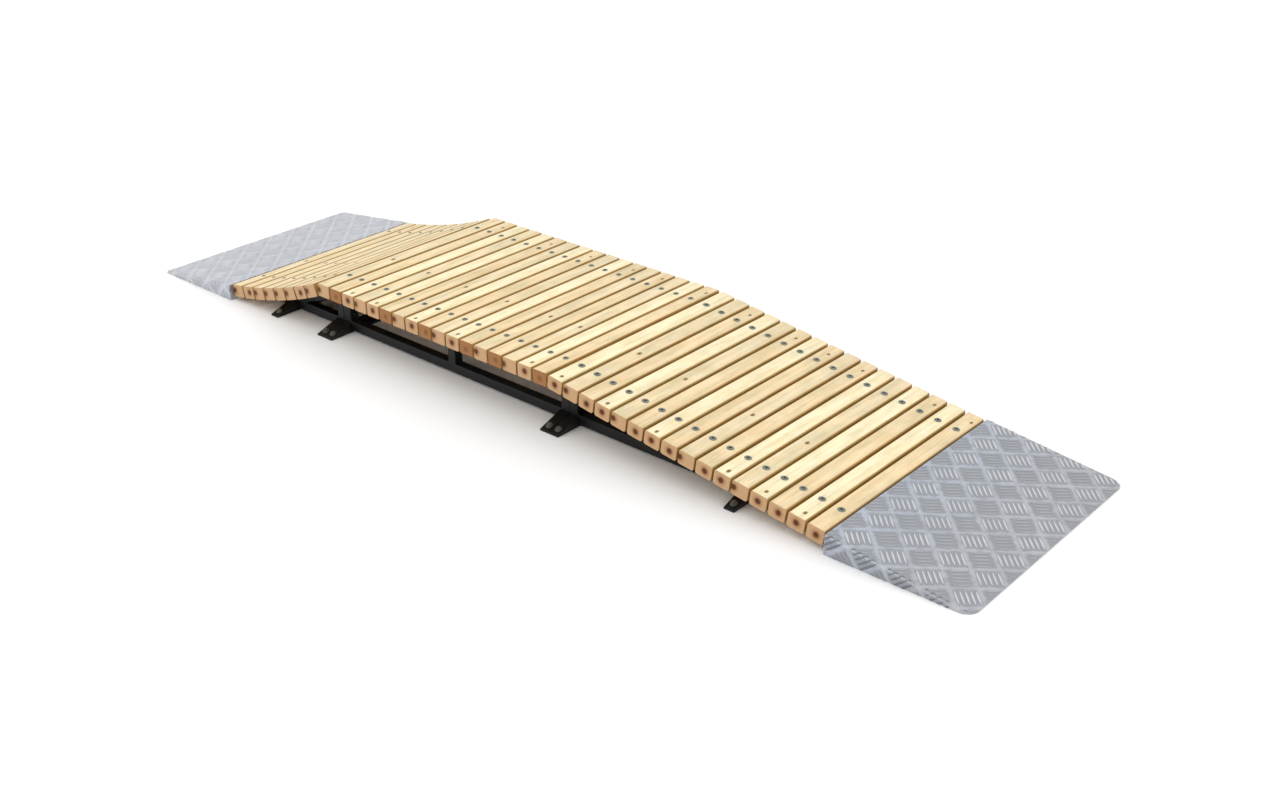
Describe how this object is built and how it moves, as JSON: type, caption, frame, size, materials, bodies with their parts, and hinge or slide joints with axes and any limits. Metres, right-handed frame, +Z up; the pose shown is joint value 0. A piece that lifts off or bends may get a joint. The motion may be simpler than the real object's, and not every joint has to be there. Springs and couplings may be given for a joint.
{
  "type": "modular table jump ramp",
  "caption": "Low table jump for bikes and skates: tread-plate run-up, curved timber take-off, flat table, timber landing slope and tread-plate run-out on a steel frame.",
  "frame": {"origin": "centre of the bounding box's bottom face, on the ground", "axes": "+X from the curved take-off towards the straight landing, +Y to the left when riding along +X, +Z up"},
  "size_m": [4.14, 1.03, 0.242],
  "materials": {
    "pine": "planed, untreated, slight variation from batten to batten",
    "tread_plate": "mill finish with raised tread bars",
    "frame_steel": "black, low gloss"
  },
  "bodies": {
    "root": {"takeoff_batten_01": "pine", "takeoff_batten_02": "pine", "takeoff_batten_03": "pine", "takeoff_batten_04": "pine", "takeoff_batten_05": "pine", "takeoff_batten_06": "pine", "takeoff_batten_07": "pine", "takeoff_batten_08": "pine", "table_batten_01": "pine", "table_batten_02": "pine", "table_batten_03": "pine", "table_batten_04": "pine", "table_batten_05": "pine", "table_batten_06": "pine", "table_batten_07": "pine", "table_batten_08": "pine", "table_batten_09": "pine", "table_batten_10": "pine", "table_batten_11": "pine", "table_batten_12": "pine", "table_batten_13": "pine", "table_batten_14": "pine", "table_batten_15": "pine", "table_batten_16": "pine", "table_batten_17": "pine", "landing_batten_01": "pine", "landing_batten_02": "pine", "landing_batten_03": "pine", "landing_batten_04": "pine", "landing_batten_05": "pine", "landing_batten_06": "pine", "landing_batten_07": "pine", "landing_batten_08": "pine", "landing_batten_09": "pine", "landing_batten_10": "pine", "landing_batten_11": "pine", "landing_batten_12": "pine", "landing_batten_13": "pine", "landing_batten_14": "pine", "landing_batten_15": "pine", "landing_batten_16": "pine", "runup_plate": "tread_plate", "runout_plate": "tread_plate", "foot_takeoff_toe": "frame_steel", "foot_takeoff_middle": "frame_steel", "foot_takeoff_joint": "frame_steel", "foot_table_start": "frame_steel", "foot_table_end": "frame_steel", "foot_landing_joint": "frame_steel", "foot_landing_middle": "frame_steel", "foot_landing_toe": "frame_steel", "takeoff_frame_right": "frame_steel", "takeoff_frame_left": "frame_steel", "table_frame_right": "frame_steel", "table_frame_left": "frame_steel", "landing_frame_right": "frame_steel", "landing_frame_left": "frame_steel", "table_cross_tube": "frame_steel"}
  },
  "joints": []
}
